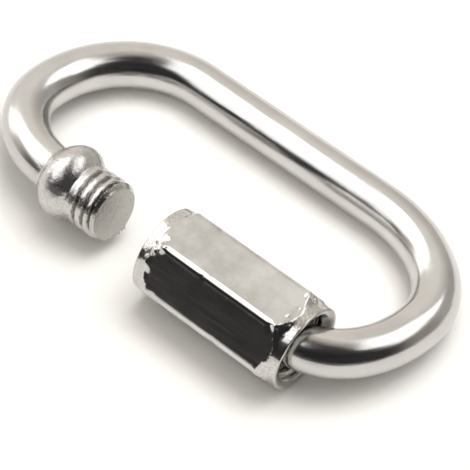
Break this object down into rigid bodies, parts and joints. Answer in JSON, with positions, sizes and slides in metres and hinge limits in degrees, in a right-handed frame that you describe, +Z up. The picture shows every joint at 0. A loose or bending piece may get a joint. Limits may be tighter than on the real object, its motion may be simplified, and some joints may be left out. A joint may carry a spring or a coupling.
{
  "type": "chain quick link",
  "caption": "Oval link of bent round rod, open at one side, with a long hexagonal sleeve nut that screws across the mouth to close the loop.",
  "frame": {"origin": "bottom centre of the bounding box, on the surface that the link lies on", "axes": "+X along the link towards the open nut, +Y across it towards the plain bar, +Z up"},
  "size_m": [0.053, 0.0284, 0.0096],
  "materials": {
    "polished_rod": "polished stainless steel with fine handling scratches",
    "turned_nut": "tumbled stainless steel, rounded edges, turned end chamfers"
  },
  "bodies": {
    "link": {"link_rod": "polished_rod"},
    "nut": {"sleeve_nut": "turned_nut"}
  },
  "joints": [
    {"name": "nut_travel", "type": "slide", "parent": "link", "child": "nut", "axis": [-1, 0, 0], "range_m": [0, 0.011]}
  ]
}
